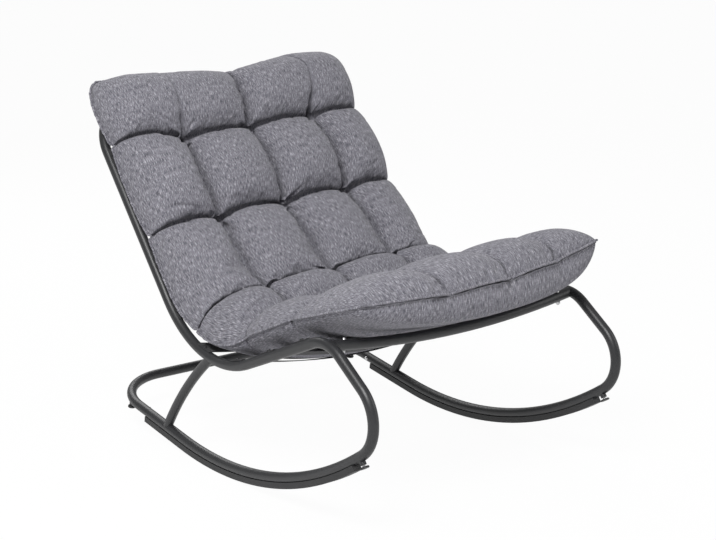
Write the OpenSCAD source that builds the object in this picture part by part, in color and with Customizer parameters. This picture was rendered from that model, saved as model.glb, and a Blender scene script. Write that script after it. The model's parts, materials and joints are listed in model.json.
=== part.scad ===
// Outdoor rocking lounge chair: a bent steel tube frame that knocks down into two side frames,
// a top hoop, a base hoop and a front cross tube, with elastic straps and a tufted pad.
// Frame: X across, -Y is the way the sitter faces, Z up, origin on the floor midway between the
// two points where the rockers touch it. Millimetres and degrees.

/* [Overall] */
// Width over the outsides of the two side frames
overall_w = 770; // [700:5:860]

/* [Tube] */
// Outside diameter of every frame tube
tube_d = 25; // [22:0.5:28]
// Wall of the side frames, struts and front cross tube
side_wall = 1.5; // [1.2:0.1:2]
// Wall of the top hoop and the base hoop
hoop_wall = 1; // [0.8:0.1:1.4]

/* [Rockers] */
// Radius of the rocker tube's centre line
rocker_r = 995; // [900:5:1200]
// Arc of the rocker in front of the floor contact
rocker_front_arc = 34.9; // [32:0.1:36]
// Arc of the rocker behind the floor contact
rocker_rear_arc = 8.7; // [6:0.1:12]
// Straight stretch behind the rocker arc, up to the base joint
rocker_tail_len = 212; // [200:1:260]
// Height of the rocker strip below its tube
strip_drop = 12; // [9:0.5:16]
// Width of the rocker strip
strip_w = 22; // [18:0.5:25]
// Arc of the front end of the rocker strip
strip_front_arc = 33; // [26:0.5:33]
// Length of the rocker strip along the straight stretch
strip_tail_len = 173; // [120:1:180]

/* [Front leg] */
// Bend radius between rocker and front leg
lower_bend_r = 91; // [80:1:110]
// Slope of the front leg above the floor plane
leg_slope = 35; // [28:0.5:42]
// Straight length of the front leg
leg_len = 94; // [70:1:130]
// Bend radius between front leg and seat rail
top_bend_r = 100; // [85:1:120]

/* [Seat and back rails] */
// Rise of the seat rail towards the front
seat_slope = 23.5; // [18:0.5:28]
// Straight length of the seat rail
seat_len = 282; // [270:1:320]
// Bend radius between seat rail and back rail
seat_bend_r = 295; // [270:5:340]
// Slope of the back rail above the floor plane
back_slope = 50.4; // [44:0.2:60]
// Straight length of the back rail on the side frame, up to the hoop joint
back_len = 212; // [190:1:260]

/* [Hoops] */
// Straight leg of the top hoop above its joint
top_leg_len = 221; // [215:1:300]
// Bend radius of the hoop corners
hoop_corner_r = 145; // [110:1:170]
// Length of the reduced end of a hoop, which plugs into the side frame
plug_len = 45; // [40:1:60]
// Radial play of a plug in its tube
plug_play = 0.15; // [0.1:0.05:0.3]

/* [Struts] */
// Where the strut meets the seat bend, in degrees behind its lowest point
strut_top_arc = 7.3; // [4:0.1:10]
// Where the strut meets the rocker's straight stretch, from its start
strut_foot_at = 80; // [60:1:100]
// Outside diameter of the strut
strut_d = 24; // [20:0.5:24.5]
// How far the strut bows backwards
strut_bow = 14; // [8:1:24]

/* [Front cross tube] */
// Where the cross tube meets the top bend, in degrees in front of its crest
cross_at = 7.8; // [4:0.2:12]
// How far the cross tube bows down in the middle
cross_sag = 29; // [20:1:40]
// Length of the stub inside each end of the cross tube
stub_len = 55; // [50:1:70]
// Distance of the cross tube's bolt from the side tube's centre line
cross_bolt_in = 43; // [40:1:50]

/* [Straps] */
// Width of an elastic strap
strap_w = 50; // [40:1:55]
// Thickness of an elastic strap
strap_t = 2; // [1.5:0.1:2.5]
// Distance between the seat straps along the rail
seat_strap_pitch = 141; // [130:1:145]
// Distance between the back straps along the rail
back_strap_pitch = 150; // [145:1:152]
// Sag of the seat straps in the middle, below the rail's centre line
seat_strap_sag = 34; // [25:1:40]
// Sag of the lowest back strap in the middle, below the rail's centre line
back_strap_sag = 24; // [18:1:30]
// Sag that each back strap has less than the one below it
back_strap_ease = 5; // [3:1:6]
// How far a strap's end wraps outward past the top of the rail
strap_wrap = 22; // [20:1:28]

/* [Stop feet] */
// Diameter of a stop foot's disc
disc_d = 22; // [18:0.5:26]
// Thickness of a stop foot's disc
disc_t = 4; // [4:0.5:6]
// Thread diameter of a stop foot's stem
stem_d = 8; // [6:1:8]
// Length of a stop foot's stem
stem_len = 24; // [22:0.5:24]
// Diameter of the welded boss that the stem screws into
boss_d = 15; // [13:0.5:17]
// How far the boss stands out of the tube
boss_h = 7; // [6:0.5:8]
// Gap between boss and disc as delivered
disc_gap = 4; // [3.5:0.5:6]
// Arc of the front stop feet in front of the floor contact
front_foot_arc = 34.5; // [34.4:0.1:34.8]
// Where the rear stop feet sit, in degrees round the base hoop's corner
rear_foot_turn = 20; // [14:1:30]

/* [Pad] */
// How far the pad's seam stays inside the frame's outside, up the back
pad_back_in = 6; // [2:1:40]
// The same at the middle of the seat
pad_seat_in = 18; // [8:1:50]
// The same at the front seam
pad_front_in = 11; // [4:1:50]
// Length of the pad beyond the straight seat rail at the front
pad_front_reach = 204; // [150:1:215]
// Length of the pad beyond the top hoop's bar
pad_top_reach = 33.5; // [15:0.5:45]
// Where the crease between seat and back lies, in degrees along the seat bend
crease_turn = 47.6; // [42:0.2:52]
// Length of the seat's row of pillows next to the crease
seat_row_rear = 228; // [200:1:250]
// Length of the seat's middle row of pillows
seat_row_middle = 202; // [170:1:215]
// Length of the back's lowest row of pillows
back_row_low = 297; // [270:1:320]
// Length of the back's top row of pillows
back_row_top = 210; // [190:1:240]
// Distance of the outer tufts from the middle, as a share of the half width
tuft_column = 0.53; // [0.45:0.01:0.6]
// Height of the rows of tufts above the rail's centre line, from the front to the top
tuft_rises = [86, 86, 142, 84, 80];
// Height of the pillows above the rail's centre line, row by row from the front to the top
pillow_rises = [132, 139, 170, 163, 155, 155];
// Height of the seam above the rail's centre line at the front
seam_front_rise = 64; // [50:1:75]
// Height of the seam at the middle of the seat
seam_seat_rise = 78; // [45:1:85]
// Height of the seam up the back
seam_back_rise = 44; // [38:1:50]
// How far the sides are drawn in at a row of tufts
side_draw = 12; // [4:1:16]
// How far the corners are drawn in at both ends
corner_draw = 20; // [8:1:28]

/* [Hidden] */
$fn = 48;
arc_fn = 480;
bow_fn = 1080;

// Finishes
frame_colour = [0.22, 0.22, 0.23];
strip_colour = [0.08, 0.08, 0.08];
strap_colour = [0.1, 0.1, 0.1];
zinc_colour = [0.7, 0.7, 0.72];
pad_colour = [0.5, 0.5, 0.53];

// General clearances
touch = 0.3;
cut = 1;

// Tube sizes
tube_r = tube_d / 2;
side_bore_r = tube_r - side_wall;
hoop_bore_r = tube_r - hoop_wall;
side_x = (overall_w - tube_d) / 2;
plug_r = side_bore_r - plug_play;

// Points are [y, z] in the side plane, and angles there run from +Y towards +Z
function way(a) = [cos(a), sin(a)];
function left_of(a) = [-sin(a), cos(a)];

// The side frame's centre line, from the base joint round to the hoop joint
contact_drop = tube_r + strip_drop;
rocker_c = [0, rocker_r + contact_drop];
tail_start = rocker_c - rocker_r * left_of(rocker_rear_arc);
base_joint = tail_start + rocker_tail_len * way(rocker_rear_arc);
rocker_front = rocker_c - rocker_r * left_of(-rocker_front_arc);
lower_bend_c = rocker_front + lower_bend_r * left_of(-rocker_front_arc);
leg_start = lower_bend_c + lower_bend_r * left_of(leg_slope);
leg_end = leg_start + leg_len * way(leg_slope);
top_bend_c = leg_end - top_bend_r * left_of(leg_slope);
rail_start = top_bend_c + top_bend_r * left_of(-seat_slope);
rail_end = rail_start + seat_len * way(-seat_slope);
seat_bend_c = rail_end + seat_bend_r * left_of(-seat_slope);
back_start = seat_bend_c - seat_bend_r * left_of(back_slope);
hoop_joint = back_start + back_len * way(back_slope);

// Stations along the seat and back rails, with 0 where the seat bend starts
bend_turn = seat_slope + back_slope;
bend_len = seat_bend_r * bend_turn * PI / 180;
joint_s = bend_len + back_len;
hoop_top_s = joint_s + top_leg_len + hoop_corner_r;
function turn_at(s) = min(max(s, 0), bend_len) / bend_len * bend_turn;
function angle_at(s) = turn_at(s) - seat_slope;
function rail_at(s) =
    s < 0 ? rail_end + s * way(-seat_slope)
    : s > bend_len ? back_start + (s - bend_len) * way(back_slope)
    : seat_bend_c - seat_bend_r * left_of(angle_at(s));

// Places children with local Y along the direction a and local Z square to it, at point p
module on_side(p, a, x = 0)
    translate([x, p[0], p[1]]) rotate([a, 0, 0]) children();

module on_rail(s, x = 0)
    on_side(rail_at(s), angle_at(s), x) children();

// Section of a rod of radius r, or of a tube when it has a bore
module round_section(r, bore = 0)
    difference() {
        circle(r = r);
        if (bore > 0) circle(r = bore);
    }

// Rod or tube along the side plane, from point p in direction a
module side_rod(p, a, len, r, bore = 0)
    on_side(p, a) rotate([-90, 0, 0]) linear_extrude(height = len) round_section(r, bore);

// Bent rod or tube round centre c, from angle a0 to a1
module side_bend(c, bend_r, a0, a1, r, bore = 0)
    translate([0, c[0], c[1]]) rotate([90, 0, 90]) rotate([0, 0, a0])
        rotate_extrude(angle = a1 - a0, $fn = arc_fn) translate([bend_r, 0]) round_section(r, bore);

// Each stretch of the side frame's run stops just short of the next, and a knuckle joins the two
stop_short = 0.5;
knuckle_rise = 0.05;

module knuckle(p, r) translate([0, p[0], p[1]]) sphere(r = r + knuckle_rise);

module run_rod(p, a, len, r, over = 0)
    side_rod(p + (stop_short - over) * way(a), a, len - 2 * stop_short + over, r);

module run_bend(c, bend_r, a0, a1, r) {
    back_off = stop_short / bend_r * 180 / PI;
    side_bend(c, bend_r, a0 + back_off, a1 - back_off, r);
}

// The side frame's whole run as a rod of radius r, longer by over at both open ends
module side_run(r, over = 0) {
    run_rod(base_joint - stop_short * way(rocker_rear_arc + 180), rocker_rear_arc + 180,
        rocker_tail_len + stop_short, r, over);
    knuckle(tail_start, r);
    run_bend(rocker_c, rocker_r, 270 - rocker_front_arc, 270 + rocker_rear_arc, r);
    knuckle(rocker_front, r);
    run_bend(lower_bend_c, lower_bend_r, 90 + leg_slope, 270 - rocker_front_arc, r);
    knuckle(leg_start, r);
    run_rod(leg_start, leg_slope, leg_len, r);
    knuckle(leg_end, r);
    run_bend(top_bend_c, top_bend_r, 90 - seat_slope, 90 + leg_slope, r);
    knuckle(rail_start, r);
    run_rod(rail_start, -seat_slope, seat_len, r);
    knuckle(rail_end, r);
    run_bend(seat_bend_c, seat_bend_r, 270 - seat_slope, 270 + back_slope, r);
    knuckle(back_start, r);
    run_rod(hoop_joint - stop_short * way(back_slope + 180), back_slope + 180,
        back_len + stop_short, r, over);
}

// Strap stations: three on the seat rail, five up the back
seat_strap_s = [for (i = [0:2]) (i - 2) * seat_strap_pitch + 40];
back_strap_s = [for (i = [1:5]) seat_strap_s[2] + i * back_strap_pitch];
side_strap_s = [for (s = concat(seat_strap_s, back_strap_s)) if (s < joint_s) s];
hoop_strap_s = [for (s = back_strap_s) if (s > joint_s) s];

// Strap fixing: screw, washer and the hole in the rail
strap_screw_d = 5;
strap_hole_d = 5.2;
strap_head_d = 9;
strap_head_h = 2.4;
washer_d = 12;
washer_t = 1;
strap_top_n = tube_r + strap_t;
strap_screw_in = 7;

module strap_hole(s, x)
    on_rail(s, x) cylinder(h = tube_r + cut, d = strap_hole_d);

// Hoop joint screw: from the inner side, through the side tube into a nut in the plug
joint_screw_d = 6;
joint_hole_d = 6.4;
joint_head_d = 11;
joint_head_h = 3.2;
joint_screw_back = plug_len / 2;
nut_af = 10;
nut_t = 5;
nut_across = nut_af / cos(30);
nut_out = sqrt(pow(plug_r - hoop_wall, 2) - pow(nut_across / 2, 2));

// Positions of the two hoop joints in the side plane, with their directions
hoop_joints = [[hoop_joint, back_slope], [base_joint, rocker_rear_arc]];

module joint_hole(joint, side)
    on_side(joint[0] - joint_screw_back * way(joint[1]), joint[1], side * side_x)
        rotate([0, -side * 90, 0]) cylinder(h = tube_r + cut, d = joint_hole_d);

// Cross tube: its end point on the top bend
cross_end = top_bend_c + top_bend_r * way(90 + cross_at);
cross_half = side_x;
cross_bow_r = (pow(cross_half, 2) + pow(cross_sag, 2)) / (2 * cross_sag);
cross_tilt = asin(cross_half / cross_bow_r);
stub_r = side_bore_r - plug_play;
stub_wall = 2;

// The part of the bow between x0 and x1, as a rod or tube
module cross_piece(x0, x1, r, bore = 0) {
    a0 = asin(x0 / cross_bow_r);
    a1 = asin(x1 / cross_bow_r);
    translate([0, cross_end[0], cross_end[1] - cross_sag + cross_bow_r])
        rotate([90, 0, 0]) rotate([0, 0, 270 + a0])
            rotate_extrude(angle = a1 - a0, $fn = bow_fn) translate([cross_bow_r, 0]) round_section(r, bore);
}

// Places children on the cross tube at distance x from the middle, Z square to the tube
module on_cross(x)
    translate([0, cross_end[0], cross_end[1] - cross_sag + cross_bow_r])
        rotate([0, -asin(x / cross_bow_r), 0]) translate([0, 0, -cross_bow_r]) children();

cross_bolt_x = side_x - cross_bolt_in;
cross_bolt_d = 6;
cross_hole_d = 6.4;

module cross_bolt_hole(x)
    on_cross(x) translate([0, 0, -tube_r - cut]) cylinder(h = tube_d + 2 * cut, d = cross_hole_d);

module side_tube(side)
    color(frame_colour) difference() {
        translate([side * side_x, 0, 0]) side_run(tube_r);
        translate([side * side_x, 0, 0]) side_run(side_bore_r, cut);
        for (s = side_strap_s) strap_hole(s, side * side_x);
        for (j = hoop_joints) joint_hole(j, side);
        front_foot_place(side) foot_hole();
        for (a = strip_screw_arcs) strip_screw_place(a, side) strip_tap_hole();
        strip_tail_screw_place(side) strip_tap_hole();
    }

module side_tube_left() side_tube(1);
module side_tube_right() side_tube(-1);

// Strut: an arc between a point on the seat bend and one on the rocker's tail
strut_top = seat_bend_c + seat_bend_r * way(270 + strut_top_arc);
strut_foot = tail_start + strut_foot_at * way(rocker_rear_arc);
strut_chord = norm(strut_foot - strut_top);
strut_dir = atan2(strut_foot[1] - strut_top[1], strut_foot[0] - strut_top[0]);
strut_r = (pow(strut_chord / 2, 2) + pow(strut_bow, 2)) / (2 * strut_bow);
strut_half_turn = asin(strut_chord / 2 / strut_r);
strut_c = (strut_top + strut_foot) / 2 - (strut_r - strut_bow) * left_of(strut_dir);

module side_strut(side)
    color(frame_colour) translate([side * side_x, 0, 0]) difference() {
        side_bend(strut_c, strut_r, strut_dir + 90 - strut_half_turn, strut_dir + 90 + strut_half_turn,
            strut_d / 2, strut_d / 2 - side_wall);
        side_bend(seat_bend_c, seat_bend_r, 270 - seat_slope, 270 + back_slope, tube_r);
        side_rod(tail_start, rocker_rear_arc, rocker_tail_len, tube_r);
    }

module side_strut_left() side_strut(1);
module side_strut_right() side_strut(-1);

// Hoop in the local XY plane: two legs along Y from y = 0, two corners and a bar
module hoop_run(leg, r, over = 0) {
    bar_half = side_x - hoop_corner_r;
    for (side = [-1, 1]) {
        translate([side * side_x, -over, 0]) rotate([-90, 0, 0]) cylinder(h = leg + over, r = r);
        translate([side * bar_half, leg, 0]) mirror([side < 0 ? 1 : 0, 0, 0])
            rotate_extrude(angle = 90) translate([hoop_corner_r, 0]) circle(r = r);
    }
    translate([-bar_half, leg + hoop_corner_r, 0]) rotate([0, 90, 0]) cylinder(h = 2 * bar_half, r = r);
}

// Reduced ends of a hoop, which run forward of y = 0 into the side frames
module hoop_plugs(r, inward) {
    outward = r < plug_r ? cut : 0;
    for (side = [-1, 1])
        translate([side * side_x, -plug_len - outward, 0]) rotate([-90, 0, 0])
            cylinder(h = plug_len + outward + inward, r = r);
}

module plug_holes()
    for (side = [-1, 1])
        translate([side * side_x, -joint_screw_back, 0]) rotate([0, -side * 90, 0])
            cylinder(h = tube_r, d = joint_hole_d);

// A hoop with its plugs, hollow all the way round but for a shoulder that carries each plug
shoulder_t = 3;

module hoop(leg)
    difference() {
        union() {
            hoop_run(leg, tube_r);
            hoop_plugs(plug_r, shoulder_t / 2);
        }
        hoop_run(leg, hoop_bore_r, -shoulder_t);
        hoop_plugs(plug_r - hoop_wall, shoulder_t + cut);
        plug_holes();
    }

base_leg_len = 6;

module base_rear_hoop()
    color(frame_colour) difference() {
        on_side(base_joint, rocker_rear_arc) hoop(base_leg_len);
        for (side = [-1, 1]) rear_foot_place(side) foot_hole();
    }

module back_top_hoop()
    color(frame_colour) difference() {
        on_side(hoop_joint, back_slope) hoop(top_leg_len);
        for (s = hoop_strap_s) for (side = [-1, 1]) strap_hole(s, side * side_x);
    }

// Screws of the hoop joints, with their heads on the inner side of the side tubes
module hoop_screws()
    color(zinc_colour) for (j = hoop_joints) for (side = [-1, 1])
        on_side(j[0] - joint_screw_back * way(j[1]), j[1], side * side_x) rotate([0, -side * 90, 0]) {
            translate([0, 0, nut_out - nut_t]) cylinder(h = tube_r - nut_out + nut_t, d = joint_screw_d);
            translate([0, 0, tube_r]) cylinder(h = joint_head_h, d1 = joint_head_d, d2 = joint_head_d - 3);
        }

// Nuts welded inside the plugs
module hoop_nuts()
    color(zinc_colour) for (j = hoop_joints) for (side = [-1, 1])
        on_side(j[0] - joint_screw_back * way(j[1]), j[1], side * side_x) rotate([0, -side * 90, 0])
            translate([0, 0, nut_out - nut_t]) difference() {
                cylinder(h = nut_t, d = nut_across, $fn = 6);
                translate([0, 0, -cut]) cylinder(h = nut_t + 2 * cut, d = joint_screw_d);
            }

module front_cross_tube()
    color(frame_colour) difference() {
        cross_piece(-side_x, side_x, tube_r, side_bore_r);
        for (side = [-1, 1]) {
            translate([side * side_x, 0, 0])
                side_bend(top_bend_c, top_bend_r, 90 - seat_slope, 90 + leg_slope, tube_r + touch);
            cross_bolt_hole(side * cross_bolt_x);
        }
    }

// Stubs welded to the top bends, inside the ends of the cross tube
module cross_tube_stubs()
    color(frame_colour) for (side = [-1, 1]) difference() {
        mirror([side < 0 ? 1 : 0, 0, 0])
            cross_piece(side_x - tube_r - stub_len, side_x, stub_r, stub_r - stub_wall);
        translate([side * side_x, 0, 0])
            side_bend(top_bend_c, top_bend_r, 90 - seat_slope, 90 + leg_slope, tube_r);
        cross_bolt_hole(side * cross_bolt_x);
    }

// Bolts down through the cross tube and its stubs
bolt_head_d = 10.5;
bolt_head_h = 3.2;
bolt_tail = 8;

module cross_tube_bolts()
    color(zinc_colour) for (side = [-1, 1]) on_cross(side * cross_bolt_x) {
        translate([0, 0, -tube_r - bolt_tail]) cylinder(h = tube_d + bolt_tail, d = cross_bolt_d);
        translate([0, 0, tube_r]) cylinder(h = bolt_head_h, d1 = bolt_head_d, d2 = bolt_head_d - 3);
    }

module cross_tube_nuts()
    color(zinc_colour) for (side = [-1, 1]) on_cross(side * cross_bolt_x)
        translate([0, 0, -tube_r - nut_t]) difference() {
            cylinder(h = nut_t, d = nut_across, $fn = 6);
            translate([0, 0, -cut]) cylinder(h = nut_t + 2 * cut, d = cross_bolt_d);
        }

// Rocker strip: a channel of black plastic under the rocker, cradling the tube
strip_cradle = 3;
strip_screw_arcs = [-29, -15, -1];
strip_tail_screw_at = 150;
strip_screw_d = 4;
strip_screw_head_d = 8;
strip_screw_head_h = 2.5;
strip_screw_sink = 4;

module strip_section()
    difference() {
        translate([-contact_drop, -strip_w / 2]) square([strip_drop + strip_cradle, strip_w]);
        circle(r = tube_r + touch / 2);
    }

// Places children under the rocker at an arc, local Z pointing away from the tube
module strip_screw_place(arc, side)
    on_side(rocker_c - rocker_r * left_of(arc), arc, side * side_x) rotate([180, 0, 0]) children();

module strip_tail_screw_place(side)
    on_side(tail_start + strip_tail_screw_at * way(rocker_rear_arc), rocker_rear_arc, side * side_x)
        rotate([180, 0, 0]) children();

module strip_tap_hole() cylinder(h = tube_r + cut, d = strip_screw_d);

module strip_screw_hole() {
    cylinder(h = contact_drop + cut, d = strip_screw_d);
    translate([0, 0, contact_drop - strip_screw_sink]) cylinder(h = strip_screw_sink + cut, d = strip_screw_head_d);
}

module rocker_strip(side)
    color(strip_colour) difference() {
        on_side(tail_start, rocker_rear_arc, side * side_x) union() {
            mirror([0, 1, 0]) translate([0, 0, rocker_r]) rotate([90, 0, 90]) rotate([0, 0, 270])
                rotate_extrude(angle = strip_front_arc + rocker_rear_arc, $fn = arc_fn)
                    translate([rocker_r, 0]) mirror([1, 0]) strip_section();
            rotate([-90, 0, 0]) linear_extrude(height = strip_tail_len)
                rotate([0, 0, -90]) strip_section();
        }
        for (a = strip_screw_arcs) strip_screw_place(a, side) strip_screw_hole();
        strip_tail_screw_place(side) strip_screw_hole();
    }

module rocker_strip_left() rocker_strip(1);
module rocker_strip_right() rocker_strip(-1);

module strip_screw() {
    translate([0, 0, side_bore_r - 3]) cylinder(h = contact_drop - strip_screw_sink - side_bore_r + 3, d = strip_screw_d);
    translate([0, 0, contact_drop - strip_screw_sink])
        cylinder(h = strip_screw_head_h, d = strip_screw_head_d - 2 * touch);
}

module rocker_strip_screws()
    color(zinc_colour) for (side = [-1, 1]) {
        for (a = strip_screw_arcs) strip_screw_place(a, side) strip_screw();
        strip_tail_screw_place(side) strip_screw();
    }

// Stop feet: a welded boss, a threaded stem and a disc that swivels on it, all along local Z
boss_end = tube_r + boss_h;
disc_top = boss_end + disc_gap;
stem_end = disc_top + disc_t / 2;
thread_play = 0.05;

module front_foot_place(side)
    on_side(rocker_c - rocker_r * left_of(-front_foot_arc), -front_foot_arc, side * side_x)
        rotate([180, 0, 0]) children();

rear_foot_x = side_x - hoop_corner_r * (1 - cos(rear_foot_turn));
rear_foot_at = base_joint + (base_leg_len + hoop_corner_r * sin(rear_foot_turn)) * way(rocker_rear_arc);

module rear_foot_place(side)
    on_side(rear_foot_at, rocker_rear_arc, side * rear_foot_x) rotate([180, 0, 0]) children();

module foot_hole() cylinder(h = boss_end + cut, d = stem_d + 2 * thread_play);

module foot_boss()
    difference() {
        cylinder(h = boss_end, d = boss_d);
        translate([0, 0, -cut]) foot_hole();
    }

module foot_stem()
    translate([0, 0, stem_end - stem_len]) cylinder(h = stem_len, d = stem_d);

module foot_disc()
    difference() {
        union() {
            translate([0, 0, disc_top]) cylinder(h = disc_t * 0.25, d1 = disc_d - 2, d2 = disc_d);
            translate([0, 0, disc_top + disc_t * 0.25]) cylinder(h = disc_t * 0.75, d = disc_d);
        }
        translate([0, 0, disc_top - cut]) cylinder(h = cut + disc_t / 2, d = stem_d + 2 * thread_play);
    }

module stop_foot_bosses()
    color(frame_colour) {
        for (side = [-1, 1]) difference() {
            front_foot_place(side) foot_boss();
            translate([side * side_x, 0, 0]) {
                side_bend(rocker_c, rocker_r, 270 - rocker_front_arc, 270, tube_r);
                side_bend(lower_bend_c, lower_bend_r, 90 + leg_slope, 270 - rocker_front_arc, tube_r);
            }
        }
        for (side = [-1, 1]) difference() {
            rear_foot_place(side) foot_boss();
            on_side(base_joint, rocker_rear_arc) hoop_run(base_leg_len, tube_r);
        }
    }

module stop_stem_front_left() color(zinc_colour) front_foot_place(1) foot_stem();
module stop_stem_front_right() color(zinc_colour) front_foot_place(-1) foot_stem();
module stop_stem_rear_left() color(zinc_colour) rear_foot_place(1) foot_stem();
module stop_stem_rear_right() color(zinc_colour) rear_foot_place(-1) foot_stem();
module stop_disc_front_left() color(strip_colour) front_foot_place(1) foot_disc();
module stop_disc_front_right() color(strip_colour) front_foot_place(-1) foot_disc();
module stop_disc_rear_left() color(strip_colour) rear_foot_place(1) foot_disc();
module stop_disc_rear_right() color(strip_colour) rear_foot_place(-1) foot_disc();

// Sag of a strap's middle below the rail's centre line
function seat_sag(i) = seat_strap_sag;
function back_sag(i) = back_strap_sag - (i - 1) * back_strap_ease;

// Strap: a band that hangs between the rails in an arc and wraps over the top of each, at station s
hang_steps = 26;
wrap_steps = 6;

// A flat band across the bend rides on its two edges, so its middle stands this much off the rail
function bend_lift(s) = s > -strap_w / 2 && s < bend_len + strap_w / 2
    ? seat_bend_r - strap_top_n - sqrt(pow(seat_bend_r - strap_top_n, 2) - pow(strap_w / 2, 2)) : 0;
strap_mid_r = tube_r + touch / 2 + strap_t / 2;

// Points of the band at a distance off from its middle, from the middle out to its right end
function strap_side(sag, off) =
    let (hang_r = (pow(side_x, 2) + pow(sag, 2) - pow(strap_mid_r, 2)) / (2 * (strap_mid_r + sag)),
        leave = asin(side_x / (hang_r + strap_mid_r)))
    concat(
        [for (i = [0:hang_steps / 2]) let (a = 2 * i / hang_steps * leave)
            [(hang_r - off) * sin(a), hang_r - sag - (hang_r - off) * cos(a)]],
        [for (i = [1:wrap_steps]) let (a = 90 + leave - (leave + strap_wrap) * i / wrap_steps)
            [side_x + (strap_mid_r + off) * cos(a), (strap_mid_r + off) * sin(a)]]);
function turned(points) = [for (i = [len(points) - 1:-1:0]) points[i]];
function mirrored(points) = [for (p = points) [-p[0], p[1]]];
function without_first(points) = [for (i = [1:len(points) - 1]) points[i]];

module strap(s, sag) {
    upper = strap_side(sag, strap_t / 2);
    lower = strap_side(sag, -strap_t / 2);
    color(strap_colour) on_rail(s) translate([0, 0, bend_lift(s)]) rotate([90, 0, 0])
        translate([0, 0, -strap_w / 2]) difference() {
        linear_extrude(height = strap_w) polygon(concat(
            turned(mirrored(upper)), without_first(upper),
            turned(lower), without_first(mirrored(lower))));
        for (side = [-1, 1]) translate([side * side_x, 0, strap_w / 2]) rotate([-90, 0, 0])
            cylinder(h = strap_top_n + cut, d = strap_hole_d);
    }
}

module seat_strap_front() strap(seat_strap_s[0], seat_sag(0));
module seat_strap_middle() strap(seat_strap_s[1], seat_sag(1));
module seat_strap_rear() strap(seat_strap_s[2], seat_sag(2));
module back_strap_1() strap(back_strap_s[0], back_sag(1));
module back_strap_2() strap(back_strap_s[1], back_sag(2));
module back_strap_3() strap(back_strap_s[2], back_sag(3));
module back_strap_4() strap(back_strap_s[3], back_sag(4));
module back_strap_5() strap(back_strap_s[4], back_sag(5));

washer_n = strap_top_n + touch / 2;

module strap_screws()
    color(zinc_colour) for (s = concat(seat_strap_s, back_strap_s)) for (side = [-1, 1])
        on_rail(s, side * side_x) {
            head_n = washer_n + washer_t + bend_lift(s);
            translate([0, 0, strap_screw_in]) cylinder(h = head_n - strap_screw_in, d = strap_screw_d);
            translate([0, 0, head_n]) cylinder(h = strap_head_h, d1 = strap_head_d, d2 = strap_head_d - 3);
        }

module strap_washers()
    color(zinc_colour) for (s = concat(seat_strap_s, back_strap_s)) for (side = [-1, 1])
        on_rail(s, side * side_x) translate([0, 0, washer_n + bend_lift(s)]) difference() {
            cylinder(h = washer_t, d = washer_d);
            translate([0, 0, -cut]) cylinder(h = washer_t + 2 * cut, d = strap_hole_d);
        }

// Fabric loops that hold the pad to the top hoop's bar
loop_w = 25;
loop_t = 1.5;
loop_x = 130;

module cushion_loops()
    color(strap_colour) for (side = [-1, 1]) on_rail(hoop_top_s, side * loop_x) rotate([0, 90, 0])
        difference() {
            cylinder(h = loop_w, r = tube_r + touch / 2 + loop_t, center = true);
            cylinder(h = loop_w + 2 * cut, r = tube_r + touch / 2, center = true);
        }

// Pad: rings square to the rail at stations along it, each with a tufted top and a plain bottom
pad_front_s = -seat_len - pad_front_reach;
pad_top_s = hoop_top_s + pad_top_reach;
crease_s = seat_bend_r * crease_turn * PI / 180;
row_edges = [pad_front_s, crease_s - seat_row_rear - seat_row_middle, crease_s - seat_row_rear,
    crease_s, crease_s + back_row_low, pad_top_s - back_row_top, pad_top_s];
rows = len(row_edges) - 1;
function row_middle(r) = (row_edges[r] + row_edges[r + 1]) / 2;
pillow_power = 0.55;
channel_share = 0.5;
end_round_front = 85;
end_round_under = 40;
end_round_top = 80;
seam_flat = 3;
top_side_power = 7;
bottom_side_power = 6;

// The bottom in the middle rests on the straps, and at the top on the loops round the hoop
strap_reach = 64;
front_strap_reach = strap_w / 2 + 3;
front_ramp = 30;
front_level = -cross_sag + 5;
function rest_on(s, sag, before = strap_reach) = let (n = -sag + strap_t / 2 + touch + bend_lift(s))
    [[s - before, n], [s + strap_reach, n]];
bottom_levels = concat(
    [[pad_front_s, front_level], [seat_strap_s[0] - front_strap_reach - front_ramp, front_level]],
    [for (i = [0:2]) each rest_on(seat_strap_s[i], seat_sag(i), i == 0 ? front_strap_reach : strap_reach)],
    [for (i = [1:5]) each rest_on(back_strap_s[i - 1], back_sag(i))],
    [[hoop_top_s - 30, tube_r + loop_t + 2 * touch], [pad_top_s, tube_r + loop_t + 2 * touch]]);
edge_level = strap_top_n + bend_lift(0) + washer_t + strap_head_h + 2 * touch;

function pad_half(s) = overall_w / 2 - lookup(s, [[pad_front_s, pad_front_in], [0, pad_seat_in],
    [crease_s, (pad_seat_in + pad_back_in) / 2 - 2], [joint_s, pad_back_in]]);
function tuft_level(s) = lookup(s, [for (r = [1:rows - 1]) [row_edges[r], tuft_rises[r - 1]]]);
function pillow_level(s) = lookup(s, [for (r = [0:rows - 1]) [row_middle(r), pillow_rises[r]]]);
function seam_level(s) = lookup(s, [[pad_front_s, seam_front_rise], [0, seam_seat_rise],
    [bend_len, seam_back_rise]]);
function pillow_of(t) = pow(max(sin(180 * t), 0), pillow_power);

// Row of a station, and how far along its row it is
function row_of(s) = max([for (r = [0:rows - 1]) s >= row_edges[r] ? r : 0]);
function row_share(s) = let (r = row_of(s)) (s - row_edges[r]) / (row_edges[r + 1] - row_edges[r]);

// How full the pad is along a row or a column: 0 at a line of tufts, 1 in the middle of a pillow
function row_fill(s) = let (r = row_of(s), t = row_share(s))
    r == 0 && t < 0.5 ? 1 : r == rows - 1 && t > 0.5 ? 1 : pillow_of(t);
function column_fill(u) = let (v = abs(u))
    v < tuft_column ? pillow_of(v / tuft_column)
    : v > (1 + tuft_column) / 2 ? 1 : pillow_of((v - tuft_column) / (1 - tuft_column));
function puff(u, s) = let (a = column_fill(u), b = row_fill(s))
    channel_share * a * b + (1 - channel_share) * (1 - (1 - a) * (1 - b));

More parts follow.
